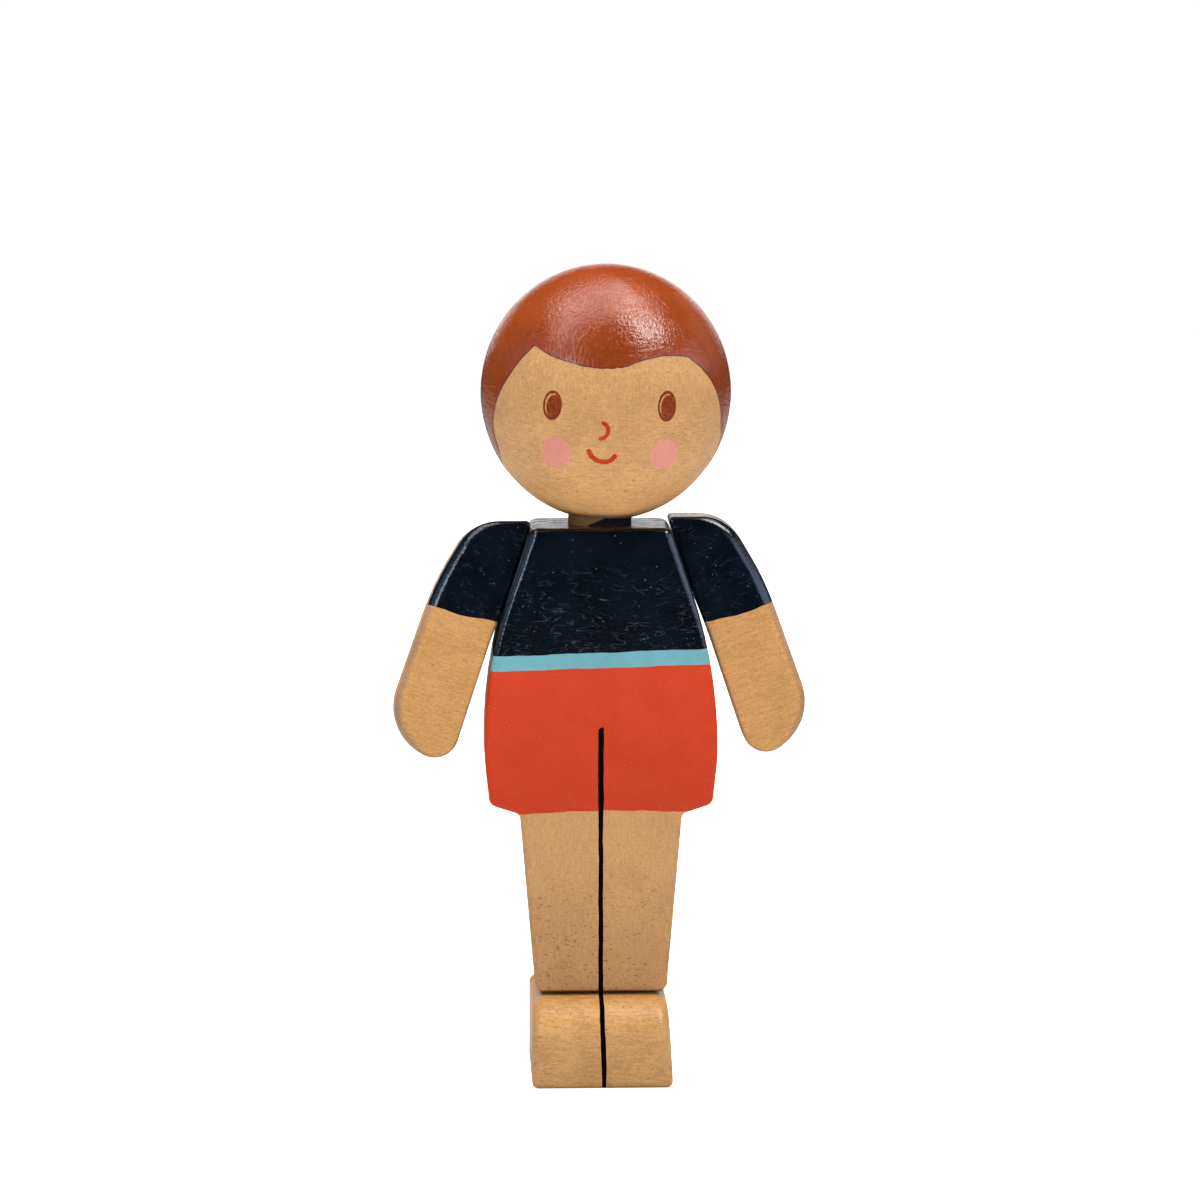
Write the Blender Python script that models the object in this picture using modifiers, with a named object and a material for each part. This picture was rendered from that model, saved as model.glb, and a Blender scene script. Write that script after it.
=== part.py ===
"""Wooden dolls'-house child doll, about 90 mm tall, standing with its arms hanging.

A turned head sits on a neck dowel. One board is torso, shorts and legs. A feet block is
dowelled under the legs. Two arms lie against the slanted sides of the torso and turn on an
elastic cord that runs from arm to arm inside the board.

The doll faces -Y, its own left is at +X, and the origin is on the sole, under the neck.
"""

import math

import bmesh
import bpy
from mathutils import Matrix, Vector

MM = 0.001

# Gap between any two pieces that touch
FIT = 0.3 * MM

# Feet block
FOOT_HEIGHT = 9.6 * MM
FOOT_WIDTH = 15.5 * MM
TOE_LENGTH = 4.7 * MM  # ahead of the board's front face
HEEL_LENGTH = 1.0 * MM  # behind the board's back face
TOE_RADIUS = 4.4 * MM
SOLE_RADIUS = 0.7 * MM
FOOT_EDGE_RADIUS = 0.6 * MM

# Body board, from the leg ends up
BOARD_THICKNESS = 12.0 * MM
BOARD_EDGE_RADIUS = 0.7 * MM
LEG_BOTTOM_WIDTH = 14.5 * MM
LEG_TOP_WIDTH = 17.9 * MM
LEG_LENGTH = 19.85 * MM
LEG_CORNER_RADIUS = 0.8 * MM
HEM_WIDTH = 24.6 * MM
HEM_RISE = 1.1 * MM
HEM_RADIUS = 1.1 * MM
HIP_WIDTH = 25.7 * MM
HIP_HEIGHT = 5.0 * MM  # from the hem to where the hips start to narrow
HIP_RADIUS = 20.0 * MM
SHORTS_LENGTH = 15.25 * MM
BELT_HEIGHT = 1.75 * MM
SHIRT_LENGTH = 13.65 * MM
WAIST_RADIUS = 54.0 * MM
TORSO_TOP_WIDTH = 15.3 * MM
TORSO_CORNER_RADIUS = 0.8 * MM
SIDE_TILT = math.radians(18.5)  # slant of the torso's sides, and of the arms on them

# Arms, seen from the front, along and across the flat inner face
ARM_THICKNESS = 8.0 * MM
ARM_LENGTH = 28.85 * MM
ARM_OUTER_LENGTH = 26.9 * MM
ARM_HAND_WIDTH = 8.1 * MM
ARM_SHOULDER_WIDTH = 7.75 * MM
ARM_SHOULDER_LENGTH = 9.95 * MM
ARM_TOP_WIDTH = 6.0 * MM
ARM_CORNER_RADIUS = 0.9 * MM
ARM_CAP_RADIUS = 5.2 * MM
ARM_SIDE_RADIUS = 33.0 * MM
ARM_HAND_RADIUS = 6.0 * MM
ARM_WRIST_RADIUS = 2.7 * MM
ARM_EDGE_RADIUS = 0.8 * MM
SLEEVE_LENGTH = 12.0 * MM
ARM_HOLE_DROP = {"left": 5.8 * MM, "right": 5.15 * MM}  # from the inner top corner, along the arm
SHOULDER_DROP = 5.1 * MM  # from the torso's top corner down its side to the shoulder's axis
SWING = {"left": math.radians(2.5), "right": math.radians(8.0)}  # forward, at rest

# Elastic cord, its knots and the plugs over them
CORD_DIAMETER = 1.2 * MM
CORD_BEND_RADIUS = 2.5 * MM
KNOT_DIAMETER = 2.6 * MM
PLUG_DIAMETER = 3.4 * MM
ARM_WEB = 2.4 * MM  # wood between the inner face and the knot's recess
CORD_COVER = 1.2 * MM  # wood between the cord's bore and the neck's bore

# Neck and head
NECK_DIAMETER = 7.0 * MM
NECK_LEAN = math.radians(2.75)  # towards the doll's own left
NECK_IN_HEAD = 10.0 * MM
DOWEL_CHAMFER = 0.4 * MM
HEAD_GAP = 0.4 * MM  # from the torso's top to the ball's lowest point
HEAD_DIAMETER = 27.5 * MM
HEAD_HEIGHT = 28.2 * MM

# Foot dowels, hidden between the leg ends and the feet block
FOOT_DOWEL_DIAMETER = 3.0 * MM
FOOT_DOWEL_DEPTH = 5.0 * MM  # into each of the two pieces
FOOT_DOWEL_SPACING = 6.6 * MM

# Fineness of round shapes
ARC_STEP = math.radians(9)
ROUND_SIDES = 40
BORE_SIDES = 24
CORD_SIDE_STEPS = 2
BEND_STEPS = 4
EDGE_STEPS = 2
SHARP_ANGLE = math.radians(35)

# How far a cutter runs on past the wood
CUT_PAST = 4.0 * MM

# Levels
SOLE_Z = 0.0
LEG_BOTTOM_Z = FOOT_HEIGHT + FIT
LEG_TOP_Z = LEG_BOTTOM_Z + LEG_LENGTH
HEM_Z = LEG_TOP_Z + HEM_RISE
HIP_Z = HEM_Z + HIP_HEIGHT
BELT_Z = HEM_Z + SHORTS_LENGTH
SHIRT_Z = BELT_Z + BELT_HEIGHT
TORSO_TOP_Z = SHIRT_Z + SHIRT_LENGTH
WAIST_Z = TORSO_TOP_Z - (HIP_WIDTH - TORSO_TOP_WIDTH) / 2 / math.tan(SIDE_TILT)

# Shoulder: where its axis crosses the arm's inner face, on the +X side
DOWN_ARM = Vector((math.sin(SIDE_TILT), 0, -math.cos(SIDE_TILT)))
OUT_OF_SIDE = Vector((math.cos(SIDE_TILT), 0, math.sin(SIDE_TILT)))
TORSO_CORNER = Vector((TORSO_TOP_WIDTH / 2, 0, TORSO_TOP_Z))
PIVOT = TORSO_CORNER + OUT_OF_SIDE * FIT + DOWN_ARM * SHOULDER_DROP

# Where the two straight halves of the cord's bore meet, and the neck's bore above it
CORD_BORE_RADIUS = CORD_DIAMETER / 2 + FIT
CORD_LOW_Z = PIVOT.z - PIVOT.x * math.tan(SIDE_TILT)
NECK_BORE_DEPTH = TORSO_TOP_Z - (CORD_LOW_Z + CORD_BORE_RADIUS / math.cos(SIDE_TILT) + CORD_COVER)
KNOT_OUT = ARM_WEB + FIT + KNOT_DIAMETER / 2
PLUG_START = KNOT_OUT + KNOT_DIAMETER / 2 + FIT

SIDES = {"left": 1, "right": -1}
UP = Vector((0, 0, 1))


def clear_scene():
    for obj in list(bpy.data.objects):
        bpy.data.objects.remove(obj, do_unlink=True)


def new_collection(name):
    collection = bpy.data.collections.new(name)
    bpy.context.scene.collection.children.link(collection)
    return collection


def new_material(name, color, roughness):
    material = bpy.data.materials.new(name)
    material.use_nodes = True
    material.diffuse_color = color
    shader = material.node_tree.nodes["Principled BSDF"]
    shader.inputs["Base Color"].default_value = color
    shader.inputs["Roughness"].default_value = roughness
    shader.inputs["Metallic"].default_value = 0.0
    return material


def add_part(name, mesh, material, parent=None):
    mesh.name = name
    mesh.shade_smooth()
    mesh.set_sharp_from_angle(angle=SHARP_ANGLE)
    if not mesh.materials:
        mesh.materials.append(material)
    obj = bpy.data.objects.new(name, mesh)
    parts.objects.link(obj)
    obj.parent = parent
    return obj


def add_cutter(name, mesh, parent=None):
    obj = bpy.data.objects.new(name, mesh)
    cutters.objects.link(obj)
    obj.parent = parent
    obj.hide_render = True
    obj.display_type = "WIRE"
    return obj


def combine(obj, other, operation="DIFFERENCE"):
    modifier = obj.modifiers.new(f"{operation.lower()} {other.name}", "BOOLEAN")
    modifier.operation = operation
    modifier.solver = "EXACT"
    modifier.object = other


def add_pivot(name, location, rotation):
    pivot = bpy.data.objects.new(name, None)
    parts.objects.link(pivot)
    pivot.empty_display_size = 3 * MM
    pivot.location = location
    pivot.rotation_euler = rotation
    return pivot


def rounded_outline(corners):
    """Points of a closed outline: corners (across, up, radius), each replaced by its arc.

    An arc takes no more of a side than the side has room for beside its neighbour's arc.
    """
    places = [Vector(corner[:2]) for corner in corners]
    count = len(corners)
    turns = []
    reaches = []
    for i, (*_, radius) in enumerate(corners):
        along = places[i] - places[i - 1]
        turn = along.angle(places[(i + 1) % count] - places[i])
        turns.append(turn)
        reaches.append(radius * math.tan(turn / 2))
    points = []
    for i, corner in enumerate(places):
        last, following = places[i - 1] - corner, places[(i + 1) % count] - corner
        reach = min(
            reaches[i],
            last.length * reaches[i] / (reaches[i] + reaches[i - 1]),
            following.length * reaches[i] / (reaches[i] + reaches[(i + 1) % count]),
        )
        radius = reach / math.tan(turns[i] / 2)
        before, after = last.normalized(), following.normalized()
        centre = corner + (before + after).normalized() * math.hypot(radius, reach)
        first = corner + before * reach - centre
        sweep = math.copysign(turns[i], before.y * after.x - before.x * after.y)
        steps = max(1, math.ceil(turns[i] / ARC_STEP))
        for step in range(steps + 1):
            turned = first.copy()
            turned.rotate(Matrix.Rotation(sweep * step / steps, 2))
            points.append(centre + turned)
    return points


def slab(name, outline, thickness, edge_radius):
    """Mesh of a flat outline in x, z with rounded rims, its thickness along y."""
    curve = bpy.data.curves.new(name, "CURVE")
    curve.dimensions = "2D"
    curve.fill_mode = "BOTH"
    curve.extrude = thickness / 2 - edge_radius
    curve.bevel_depth = edge_radius
    curve.bevel_resolution = EDGE_STEPS
    curve.offset = -edge_radius
    spline = curve.splines.new("POLY")
    spline.points.add(len(outline) - 1)
    for point, (across, up) in zip(spline.points, outline):
        point.co = (across, up, 0, 1)
    spline.use_cyclic_u = True
    mesh = mesh_of_curve(curve)
    mesh.transform(Matrix.Rotation(math.pi / 2, 4, "X"))
    return mesh


def mesh_of_curve(curve):
    holder = bpy.data.objects.new(curve.name, curve)
    bpy.context.scene.collection.objects.link(holder)
    graph = bpy.context.evaluated_depsgraph_get()
    mesh = bpy.data.meshes.new_from_object(holder.evaluated_get(graph))
    bpy.data.objects.remove(holder, do_unlink=True)
    bpy.data.curves.remove(curve)
    shape = bmesh.new()
    shape.from_mesh(mesh)
    bmesh.ops.remove_doubles(shape, verts=shape.verts, dist=0.002 * MM)
    bmesh.ops.recalc_face_normals(shape, faces=shape.faces)
    shape.to_mesh(mesh)
    shape.free()
    mesh.materials.clear()
    return mesh


def cylinder(radius, length, sides, start=Vector(), along=UP, chamfer=0.0):
    """Mesh of a cylinder from start, along a direction, with chamfered ends if asked for."""
    shape = bmesh.new()
    bmesh.ops.create_cone(
        shape, cap_ends=True, segments=sides, radius1=radius, radius2=radius, depth=length
    )
    if chamfer:
        rims = [edge for edge in shape.edges if abs(edge.verts[0].co.z - edge.verts[1].co.z) < chamfer]
        bmesh.ops.bevel(shape, geom=rims, offset=chamfer, segments=1, affect="EDGES")
    bmesh.ops.translate(shape, verts=shape.verts, vec=(0, 0, length / 2))
    turn = UP.rotation_difference(along).to_matrix().to_4x4()
    shape.transform(Matrix.Translation(start) @ turn)
    mesh = bpy.data.meshes.new("cylinder")
    shape.to_mesh(mesh)
    shape.free()
    return mesh


def tube(name, route, radius, sides_per_quarter):
    curve = bpy.data.curves.new(name, "CURVE")
    curve.dimensions = "3D"
    curve.bevel_depth = radius
    curve.bevel_resolution = sides_per_quarter
    curve.use_fill_caps = True
    spline = curve.splines.new("POLY")
    spline.points.add(len(route) - 1)
    for point, place in zip(spline.points, route):
        point.co = (*place, 1)
    return mesh_of_curve(curve)


def paint_zones(mesh, zones):
    """Cuts the mesh at each zone's lower level, and gives the faces above it the zone's paint."""
    shape = bmesh.new()
    shape.from_mesh(mesh)
    for level, _ in zones:
        everything = shape.verts[:] + shape.edges[:] + shape.faces[:]
        bmesh.ops.bisect_plane(shape, geom=everything, plane_co=UP * level, plane_no=UP)
    for face in shape.faces:
        height = face.calc_center_median().z
        face.material_index = sum(height > level for level, _ in zones)
    shape.to_mesh(mesh)
    shape.free()
    mesh.materials.append(wood)
    for _, material in zones:
        mesh.materials.append(material)


def body_outline():
    """Right half from the top down, then its mirror image from the leg ends up."""
    half = [
        (TORSO_TOP_WIDTH / 2, TORSO_TOP_Z, TORSO_CORNER_RADIUS),
        (HIP_WIDTH / 2, WAIST_Z, WAIST_RADIUS),
        (HIP_WIDTH / 2, HIP_Z, HIP_RADIUS),
        (HEM_WIDTH / 2, HEM_Z, HEM_RADIUS),
        (LEG_TOP_WIDTH / 2, LEG_TOP_Z, LEG_CORNER_RADIUS),
        (LEG_BOTTOM_WIDTH / 2, LEG_BOTTOM_Z, BOARD_EDGE_RADIUS),
    ]
    return rounded_outline(half + [(-across, up, radius) for across, up, radius in reversed(half)])


def make_body():
    mesh = slab("body_board", body_outline(), BOARD_THICKNESS, BOARD_EDGE_RADIUS)
    zones = [(HEM_Z - HEM_RISE / 2, red_paint), (BELT_Z, belt_paint), (SHIRT_Z, navy_paint)]
    paint_zones(mesh, zones)
    board = add_part("body_board", mesh, wood)

    depth = NECK_BORE_DEPTH
    neck_bore = cylinder(NECK_DIAMETER / 2 + FIT, depth + CUT_PAST, ROUND_SIDES, UP * -depth)
    combine(board, add_cutter("neck_bore", neck_bore, neck))
    cord_bore = tube("cord_bore", cord_route(CUT_PAST), CORD_BORE_RADIUS, CORD_SIDE_STEPS)
    combine(board, add_cutter("cord_bore", cord_bore))
    return board


def shoulder_point(side, out=0.0):
    """Point on the shoulder's axis, this far outwards from the arm's inner face."""
    point = PIVOT + OUT_OF_SIDE * out
    return Vector((SIDES[side] * point.x, 0, point.z))


def cord_route(out):
    """From one shoulder to the other, straight along each axis, with a round bend in the middle."""
    centre = UP * (CORD_LOW_Z + CORD_BEND_RADIUS / math.cos(SIDE_TILT))
    route = [shoulder_point("right", out)]
    for step in range(BEND_STEPS + 1):
        angle = SIDE_TILT * (2 * step / BEND_STEPS - 1)
        route.append(centre + CORD_BEND_RADIUS * Vector((math.sin(angle), 0, -math.cos(angle))))
    route.append(shoulder_point("left", out))
    return route


def make_feet():
    front = -BOARD_THICKNESS / 2 - TOE_LENGTH
    back = BOARD_THICKNESS / 2 + HEEL_LENGTH
    profile = [
        (front, FOOT_HEIGHT, TOE_RADIUS),
        (back, FOOT_HEIGHT, SOLE_RADIUS),
        (back, SOLE_Z, SOLE_RADIUS),
        (front, SOLE_Z, SOLE_RADIUS),
    ]
    mesh = slab("feet_block", rounded_outline(profile), FOOT_WIDTH, FOOT_EDGE_RADIUS)
    mesh.transform(Matrix.Rotation(math.pi / 2, 4, "Z"))
    return add_part("feet_block", mesh, wood)


def make_foot_dowels(board, feet):
    for side, sign in SIDES.items():
        across = sign * FOOT_DOWEL_SPACING / 2
        foot = Vector((across, 0, FOOT_HEIGHT - FOOT_DOWEL_DEPTH))
        depth = 2 * FOOT_DOWEL_DEPTH + FIT
        radius = FOOT_DOWEL_DIAMETER / 2
        dowel = cylinder(radius, depth - 2 * FIT, BORE_SIDES, foot + UP * FIT, chamfer=DOWEL_CHAMFER)
        add_part(f"foot_dowel_{side}", dowel, wood)
        cutter = add_cutter(f"foot_dowel_bore_{side}", cylinder(radius + FIT, depth, BORE_SIDES, foot))
        combine(board, cutter)
        combine(feet, cutter)


def make_neck():
    depth = NECK_BORE_DEPTH - FIT
    length = depth + HEAD_GAP + NECK_IN_HEAD
    mesh = cylinder(NECK_DIAMETER / 2, length, ROUND_SIDES, UP * -depth, chamfer=DOWEL_CHAMFER)
    add_part("neck_dowel", mesh, wood, neck)


def make_head():
    """Turned ball: its outside from the top down, then up the blind bore."""
    bore_radius = NECK_DIAMETER / 2 + FIT
    half_height = HEAD_HEIGHT / 2
    centre = HEAD_GAP + half_height
    bore_end = HEAD_GAP + NECK_IN_HEAD + FIT
    rim = math.pi - math.asin(bore_radius / (HEAD_DIAMETER / 2))
    steps = ROUND_SIDES // 2
    profile = [
        (HEAD_DIAMETER / 2 * math.sin(rim * i / steps), centre + half_height * math.cos(rim * i / steps))
        for i in range(steps + 1)
    ]
    profile += [(bore_radius, bore_end), (0, bore_end)]
    mesh = bpy.data.meshes.new("head")
    edges = [(i, i + 1) for i in range(len(profile) - 1)]
    mesh.from_pydata([(across, 0, up) for across, up in profile], edges, [])
    head = add_part("head", mesh, hair_paint, neck)
    screw = head.modifiers.new("turned", "SCREW")
    screw.steps = ROUND_SIDES
    screw.render_steps = ROUND_SIDES
    screw.use_merge_vertices = True
    screw.merge_threshold = 0.01 * MM


def arm_mesh(side):
    """Arm in its own frame: x out of the torso's side, z up along it, from the shoulder's axis."""
    sign = SIDES[side]
    corners = [
        (0, 0, ARM_CORNER_RADIUS),
        (ARM_TOP_WIDTH, -ARM_TOP_WIDTH * math.tan(SIDE_TILT), ARM_CAP_RADIUS),
        (ARM_SHOULDER_WIDTH, -ARM_SHOULDER_LENGTH, ARM_SIDE_RADIUS),
        (ARM_HAND_WIDTH, -ARM_OUTER_LENGTH, ARM_HAND_RADIUS),
        (0, -ARM_LENGTH, ARM_WRIST_RADIUS),
    ]
    drop = ARM_HOLE_DROP[side]
    outline = rounded_outline([(sign * out, up + drop, radius) for out, up, radius in corners])
    return slab(f"{side}_arm", outline, ARM_THICKNESS, ARM_EDGE_RADIUS)


def make_arm(side):
    sign = SIDES[side]
    out = Vector((sign, 0, 0))
    turn = (-SWING[side], -sign * SIDE_TILT, 0)
    pivot = add_pivot(f"{side}_shoulder", shoulder_point(side), turn)
    mesh = arm_mesh(side)
    paint_zones(mesh, [(ARM_HOLE_DROP[side] - SLEEVE_LENGTH, navy_paint)])
    arm = add_part(f"{side}_arm", mesh, wood, pivot)
    through = ARM_SHOULDER_WIDTH + CUT_PAST
    hole = cylinder(CORD_BORE_RADIUS, through, BORE_SIDES, -out * FIT, out)
    combine(arm, add_cutter(f"{side}_arm_cord_hole", hole, pivot))
    recess = cylinder(PLUG_DIAMETER / 2 + FIT, through, BORE_SIDES, out * ARM_WEB, out)
    combine(arm, add_cutter(f"{side}_arm_recess", recess, pivot))

    plug = cylinder(PLUG_DIAMETER / 2, through, BORE_SIDES, out * PLUG_START, out)
    plug = add_part(f"{side}_arm_plug", plug, wood, pivot)
    blank = add_cutter(f"{side}_arm_blank", arm_mesh(side), pivot)
    combine(plug, blank, "INTERSECT")


def make_cord():
    mesh = tube("elastic_cord", cord_route(KNOT_OUT), CORD_DIAMETER / 2, CORD_SIDE_STEPS)
    cord = add_part("elastic_cord", mesh, elastic)
    for side in SIDES:
        shape = bmesh.new()
        bmesh.ops.create_uvsphere(shape, u_segments=16, v_segments=10, radius=KNOT_DIAMETER / 2)
        shape.transform(Matrix.Translation(shoulder_point(side, KNOT_OUT)))
        mesh = bpy.data.meshes.new(f"{side}_knot")
        shape.to_mesh(mesh)
        shape.free()
        combine(cord, add_cutter(f"{side}_knot", mesh), "UNION")


clear_scene()
parts = new_collection("wooden_doll")
cutters = new_collection("cutters")

wood = new_material("bare_wood", (0.62, 0.37, 0.15, 1), 0.45)
navy_paint = new_material("navy_paint", (0.004, 0.007, 0.012, 1), 0.15)
belt_paint = new_material("belt_paint", (0.17, 0.44, 0.49, 1), 0.45)
red_paint = new_material("red_paint", (0.65, 0.08, 0.03, 1), 0.45)
hair_paint = new_material("hair_paint", (0.28, 0.05, 0.013, 1), 0.3)
elastic = new_material("elastic", (0.7, 0.68, 0.62, 1), 0.8)

neck = add_pivot("neck_axis", (0, 0, TORSO_TOP_Z), (0, NECK_LEAN, 0))
body_board = make_body()
feet_block = make_feet()
make_foot_dowels(body_board, feet_block)
make_neck()
make_head()
for arm_side in SIDES:
    make_arm(arm_side)
make_cord()
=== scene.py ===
"""Looks of the wooden doll: finely cut wooden pieces, varnished wood, brushed paint, plain studio."""

import math

import bmesh
import bpy
import numpy as np
from mathutils import Matrix, Vector


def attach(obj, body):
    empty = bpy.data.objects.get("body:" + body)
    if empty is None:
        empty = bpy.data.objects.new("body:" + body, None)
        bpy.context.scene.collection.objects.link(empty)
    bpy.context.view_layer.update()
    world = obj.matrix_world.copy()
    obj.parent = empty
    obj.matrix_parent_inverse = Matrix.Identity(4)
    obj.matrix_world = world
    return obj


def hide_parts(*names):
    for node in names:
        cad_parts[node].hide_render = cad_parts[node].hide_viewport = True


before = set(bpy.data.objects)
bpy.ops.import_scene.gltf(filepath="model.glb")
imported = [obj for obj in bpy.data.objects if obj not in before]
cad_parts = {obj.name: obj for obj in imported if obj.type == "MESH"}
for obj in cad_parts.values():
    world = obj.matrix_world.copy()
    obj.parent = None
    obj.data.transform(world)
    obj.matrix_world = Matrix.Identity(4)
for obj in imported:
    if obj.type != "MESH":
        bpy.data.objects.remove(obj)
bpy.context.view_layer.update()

MM = 0.001
UP = Vector((0, 0, 1))
SIDES = {"left": 1, "right": -1}

# Sizes of the solid model
FIT = 0.3 * MM
SIDE_TILT = math.radians(18.5)
TORSO_TOP_Z = 61.5 * MM
TORSO_TOP_WIDTH = 15.3 * MM
LEG_BOTTOM_Z = 9.9 * MM
LEG_TOP_Z = 29.75 * MM
HEM_Z = 30.85 * MM
HIP_Z = 35.85 * MM
HIP_WIDTH = 25.7 * MM
HEM_WIDTH = 24.6 * MM
LEG_TOP_WIDTH = 17.9 * MM
LEG_BOTTOM_WIDTH = 14.5 * MM
BOARD_THICKNESS = 12.0 * MM
ARM_THICKNESS = 8.0 * MM
ARM_LENGTH = 28.85 * MM
ARM_OUTER_LENGTH = 26.9 * MM
ARM_HAND_WIDTH = 8.1 * MM
ARM_SHOULDER_WIDTH = 7.75 * MM
ARM_SHOULDER_LENGTH = 9.95 * MM
ARM_TOP_WIDTH = 6.0 * MM
ARM_HOLE_DROP = {"left": 5.8 * MM, "right": 5.15 * MM}
SWING = {"left": math.radians(2.5), "right": math.radians(8.0)}
SHOULDER_DROP = 5.1 * MM
CORD_HOLE_RADIUS = 0.9 * MM
PLUG_RECESS_RADIUS = 2.0 * MM
PLUG_RADIUS = 1.96 * MM
ARM_WEB = 2.4 * MM
PLUG_START = 5.6 * MM
NECK_LEAN = math.radians(2.75)
NECK_BORE_RADIUS = 3.56 * MM
NECK_BORE_END = 10.7 * MM
HEAD_RADIUS = 13.75 * MM
HEAD_HALF_HEIGHT = 14.1 * MM
HEAD_CENTRE = 14.5 * MM
FOOT_WIDTH = 15.5 * MM
FOOT_HEIGHT = 9.6 * MM
FOOT_FRONT = -10.7 * MM
FOOT_BACK = 7.0 * MM
FOOT_DOWEL_BORE_RADIUS = 1.8 * MM
FOOT_DOWEL_OFFSET = 3.3 * MM
FOOT_DOWEL_DEPTH = 5.0 * MM
NECK_RADIUS = 3.5 * MM
NECK_TOP = 10.4 * MM
NECK_CHAMFER = 0.4 * MM
CORD_COVER = 1.2 * MM  # wood between the cord's bore and the neck's bore

WAIST_Z = TORSO_TOP_Z - (HIP_WIDTH - TORSO_TOP_WIDTH) / 2 / math.tan(SIDE_TILT)

# Shoulder: where its axis crosses the arm's inner face, on the +X side
DOWN_ARM = Vector((math.sin(SIDE_TILT), 0, -math.cos(SIDE_TILT)))
OUT_OF_SIDE = Vector((math.cos(SIDE_TILT), 0, math.sin(SIDE_TILT)))
PIVOT = Vector((TORSO_TOP_WIDTH / 2, 0, TORSO_TOP_Z)) + OUT_OF_SIDE * FIT + DOWN_ARM * SHOULDER_DROP
NECK_FRAME = Matrix.Translation((0, 0, TORSO_TOP_Z)) @ Matrix.Rotation(NECK_LEAN, 4, "Y")

# Where the cord's two straight bores meet, and the neck's bore above it
CORD_LOW_Z = PIVOT.z - PIVOT.x * math.tan(SIDE_TILT)
NECK_BORE_DEPTH = TORSO_TOP_Z - CORD_LOW_Z - CORD_HOLE_RADIUS / math.cos(SIDE_TILT) - CORD_COVER

# The arms are pulled flat against the torso, so their shown inner faces close the solids' gap
ARM_INNER = -0.25 * MM
ARM_INNER_END = 9.0 * MM
ARM_LEVEL_START = 14.0 * MM
ARM_TOP_RISE = {"left": 0.12 * MM, "right": 0.0}

# Painted borders of the board at its middle, the top of the drawn line and of the dull sides
SHORTS_Z = 29.92 * MM
BELT_Z = 46.12 * MM
SHIRT_Z = 47.82 * MM
LINE_TOP_Z = 39.5 * MM
FLANK_TOP_Z = 60.0 * MM

# Height of the hair's paint over the wood, and the width of the slope at its border
PAINT_HEIGHT = 0.04 * MM
PAINT_SLOPE = 0.08 * MM

# Fineness of the shown meshes
ARC_STEP = math.radians(3)
RIM_STEPS = 6
CELL = 0.55 * MM
BORE_SIDES = 48
PLUG_SIDES = 72
ROUND_SIDES = 96
FLAT_ANGLE = math.radians(0.2)
SHARP_ANGLE = math.radians(38)
SAME_PLACE = 1e-7

# How far a cutting tool runs on past the wood, and the length of one that leaves an arm
CUT_PAST = 4 * MM
THROUGH = 12 * MM


# Shapes


def rounded_outline(corners):
    """Points of a closed outline: corners (across, up, radius), each replaced by its arc."""
    places = [Vector(corner[:2]) for corner in corners]
    count = len(corners)
    turns = []
    reaches = []
    for i, (*_, radius) in enumerate(corners):
        along = places[i] - places[i - 1]
        turn = along.angle(places[(i + 1) % count] - places[i])
        turns.append(turn)
        reaches.append(radius * math.tan(turn / 2))
    points = []
    for i, corner in enumerate(places):
        last, following = places[i - 1] - corner, places[(i + 1) % count] - corner
        reach = min(
            reaches[i],
            last.length * reaches[i] / (reaches[i] + reaches[i - 1]),
            following.length * reaches[i] / (reaches[i] + reaches[(i + 1) % count]),
        )
        radius = reach / math.tan(turns[i] / 2)
        before, after = last.normalized(), following.normalized()
        centre = corner + (before + after).normalized() * math.hypot(radius, reach)
        first = corner + before * reach - centre
        sweep = math.copysign(turns[i], before.y * after.x - before.x * after.y)
        steps = max(1, math.ceil(turns[i] / ARC_STEP))
        for step in range(steps + 1):
            turned = first.copy()
            turned.rotate(Matrix.Rotation(sweep * step / steps, 2))
            points.append(centre + turned)
    return points


def spaced(points, step):
    """The same closed outline with its long straight runs divided."""
    result = []
    for a, b in zip(points, points[1:] + points[:1]):
        parts = max(1, math.ceil((b - a).length / step))
        result += [a.lerp(b, i / parts) for i in range(parts)]
    return [p for i, p in enumerate(result) if (p - result[i - 1]).length > SAME_PLACE]


def slab(outline, thickness, rim_radius):
    """Closed mesh of an outline in x, z with rounded rims; rim_radius is a function of (x, z)."""
    points = np.array([tuple(p) for p in spaced(outline, CELL)])
    following = np.roll(points, -1, 0)
    area = np.sum(points[:, 0] * following[:, 1] - following[:, 0] * points[:, 1]) / 2
    if area < 0:
        points = points[::-1]
    ahead = np.roll(points, -1, 0) - points
    ahead /= np.linalg.norm(ahead, axis=1)[:, None]
    outward = np.stack([ahead[:, 1], -ahead[:, 0]], 1)
    outward = outward + np.roll(outward, 1, 0)
    outward /= np.linalg.norm(outward, axis=1)[:, None]
    radius = rim_radius(points[:, 0], points[:, 1])
    shape = bmesh.new()
    rings = []
    for side in (-1, 1):
        for step in range(RIM_STEPS + 1):
            angle = math.pi / 2 * (step if side < 0 else RIM_STEPS - step) / RIM_STEPS
            inset = radius * (1 - math.sin(angle))
            depth = side * (thickness / 2 - radius * (1 - math.cos(angle)))
            places = points - outward * inset[:, None]
            rings.append([shape.verts.new((x, y, z)) for (x, z), y in zip(places, depth)])
    count = len(points)
    for near, far in zip(rings, rings[1:]):
        for i in range(count):
            j = (i + 1) % count
            shape.faces.new((near[i], near[j], far[j], far[i]))
    shape.faces.new(rings[0][::-1])
    shape.faces.new(rings[-1])
    bmesh.ops.recalc_face_normals(shape, faces=shape.faces)
    return as_mesh(shape)


def show(name, data):
    """A new object of the data, linked to the scene."""
    obj = bpy.data.objects.new(name, data)
    bpy.context.scene.collection.objects.link(obj)
    return obj


def as_mesh(shape):
    mesh = bpy.data.meshes.new("piece")
    shape.to_mesh(mesh)
    shape.free()
    return mesh


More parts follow.
